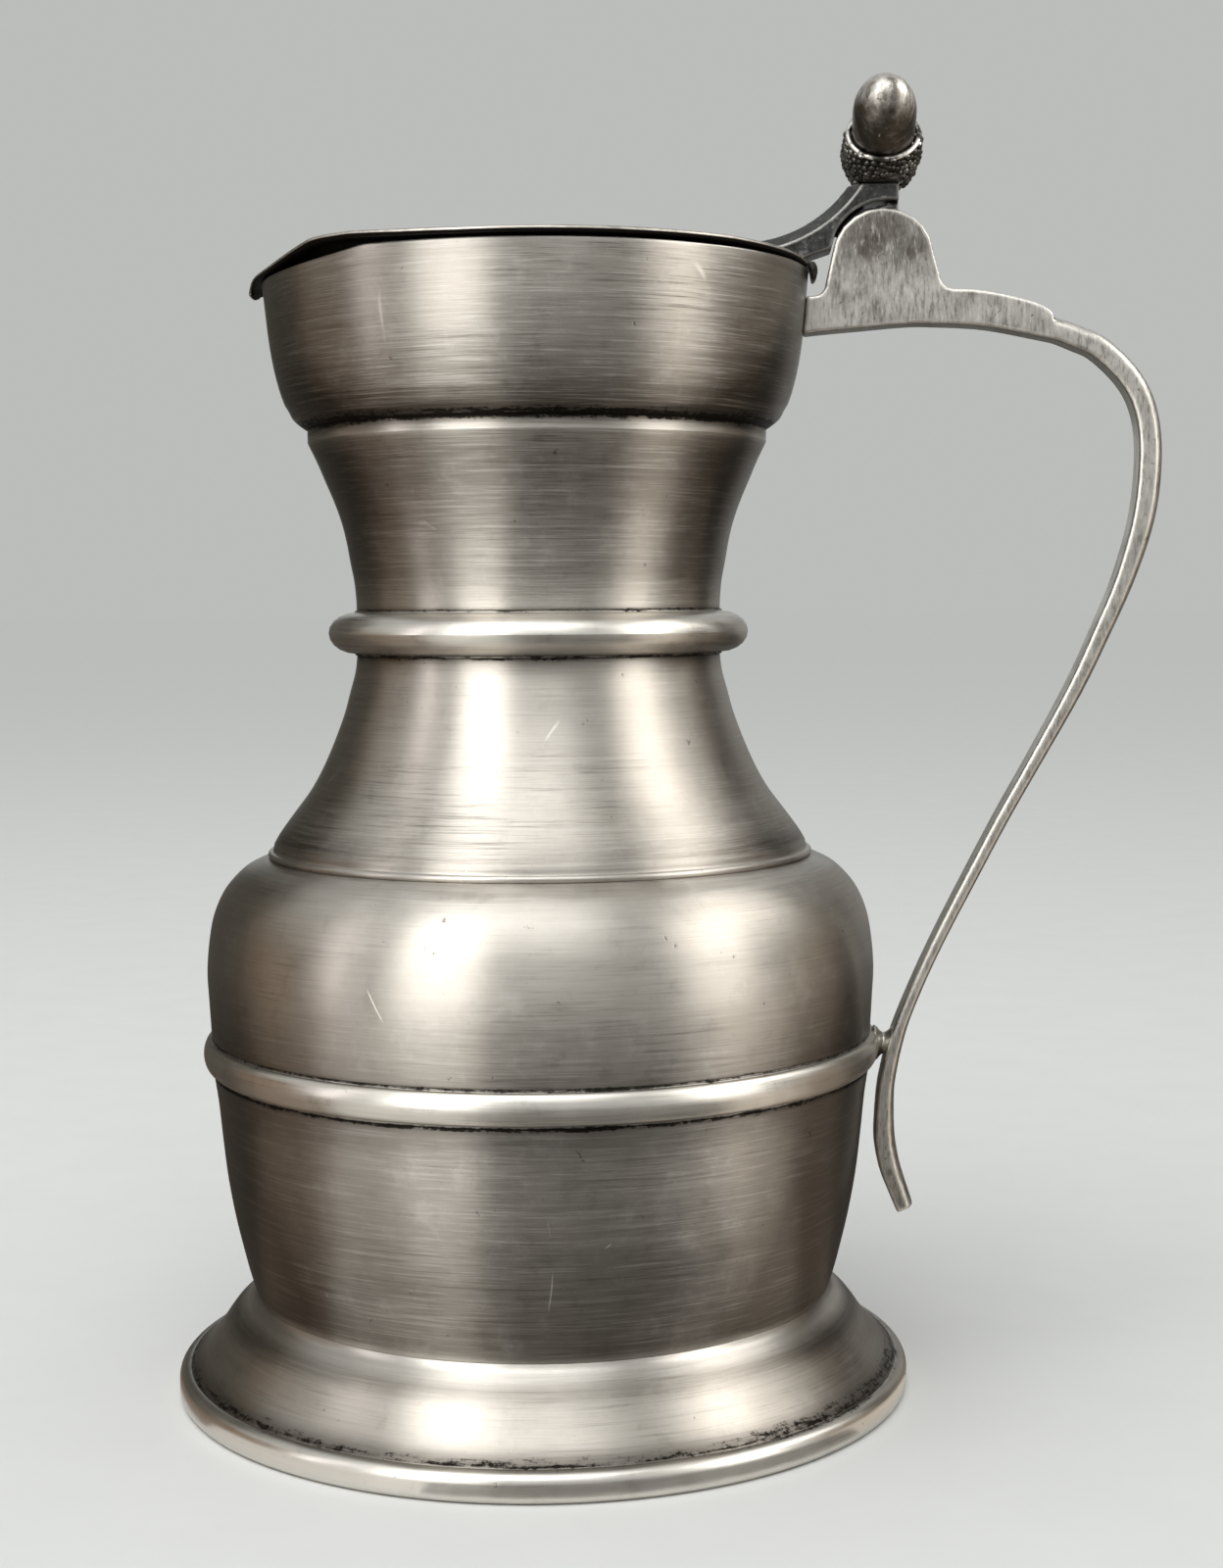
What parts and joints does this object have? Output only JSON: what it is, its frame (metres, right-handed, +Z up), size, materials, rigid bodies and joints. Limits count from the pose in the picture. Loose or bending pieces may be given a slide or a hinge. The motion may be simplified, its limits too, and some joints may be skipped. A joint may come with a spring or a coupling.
{
  "type": "lidded pewter flagon",
  "caption": "Turned pewter flagon with a flared foot, ringed neck, wide mouth, strap handle and hinged heart-shaped lid with an acorn thumbpiece.",
  "frame": {"origin": "centre of the foot on the surface that the flagon stands on, on the body's turned axis", "axes": "+Z up along the body's axis, +X out through the handle, -X out through the spout"},
  "size_m": [0.1997, 0.1496, 0.2612],
  "materials": {
    "pewter_body": "aged pewter with fine brushed lines round the axis and a darker patina in the recesses",
    "pewter_bead": "pewter rings polished brighter along their crowns",
    "pewter_base": "dull oxidised pewter with faint turning marks",
    "pewter_handle": "cast pewter with short file marks across the sides and bright rounded edges",
    "pewter_pin": "dark worn metal, peened flush",
    "pewter_lid": "pewter plate with fine brushed lines and a bright edge",
    "pewter_dark": "dark gunmetal patina with bright arrises",
    "pewter_nut": "smooth pewter with small dents"
  },
  "bodies": {
    "body": {"foot_bead": "pewter_bead", "foot_skirt": "pewter_body", "base_disc": "pewter_base", "lower_drum": "pewter_body", "belly_band": "pewter_bead", "shoulder_drum": "pewter_body", "neck_cone": "pewter_body", "neck_ring": "pewter_bead", "throat": "pewter_body", "mouth_collar": "pewter_body", "hinge_block": "pewter_handle", "handle_strap": "pewter_handle", "handle_strut": "pewter_handle", "hinge_pin": "pewter_pin"},
    "lid": {"lid_plate": "pewter_lid", "thumbpiece": "pewter_dark", "acorn_cup_front": "pewter_dark", "acorn_cup_rear": "pewter_dark", "acorn_nut_front": "pewter_nut", "acorn_nut_rear": "pewter_nut"}
  },
  "joints": [
    {"name": "lid_hinge", "type": "hinge", "parent": "body", "child": "lid", "pos_m": [0.0693, 0, 0.2273], "axis": [0, 1, 0], "range_deg": [0, 85]}
  ]
}
